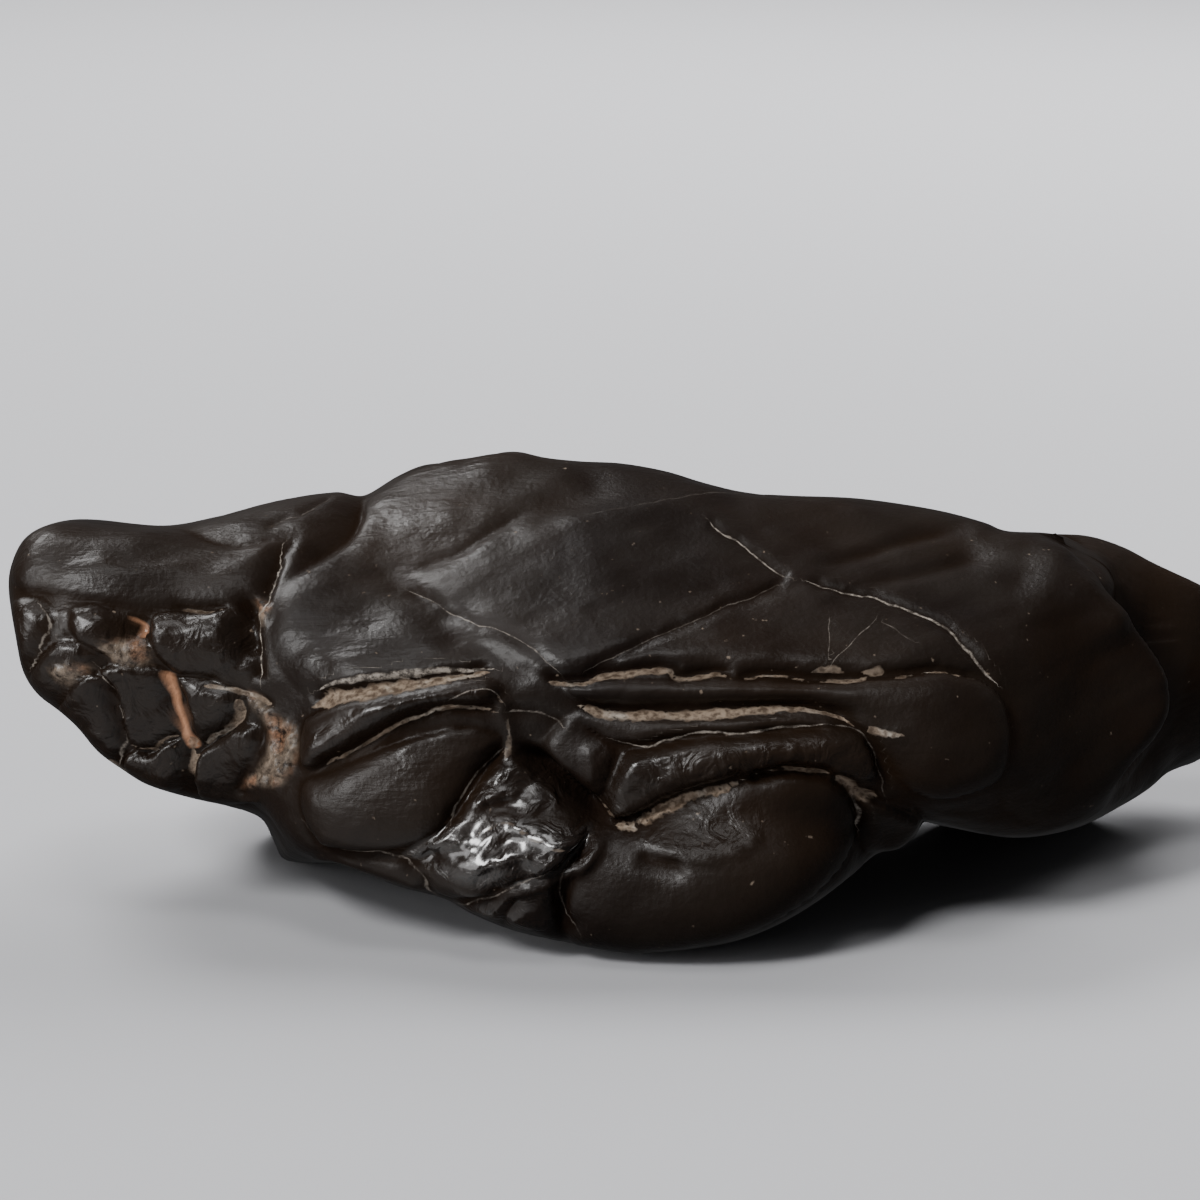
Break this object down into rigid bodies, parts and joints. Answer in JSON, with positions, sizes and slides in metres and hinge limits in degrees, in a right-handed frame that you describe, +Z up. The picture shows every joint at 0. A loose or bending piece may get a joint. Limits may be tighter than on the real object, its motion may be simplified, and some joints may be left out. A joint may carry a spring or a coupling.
{
  "type": "viewing stone",
  "caption": "Long, low natural viewing stone: a flat jutting head, a faceted sloping roof, folded lobes below it and a smooth boulder end, standing on worn feet over a low arch.",
  "frame": {"origin": "on the ground under the middle of the stone's bounding box, at the level of its feet", "axes": "+X along the stone's length towards the boulder end, +Y away from the viewer towards the back, +Z up"},
  "size_m": [0.354, 0.19, 0.116],
  "materials": {
    "stone": "satin"
  },
  "bodies": {
    "root": {"stone": "stone"}
  },
  "joints": []
}
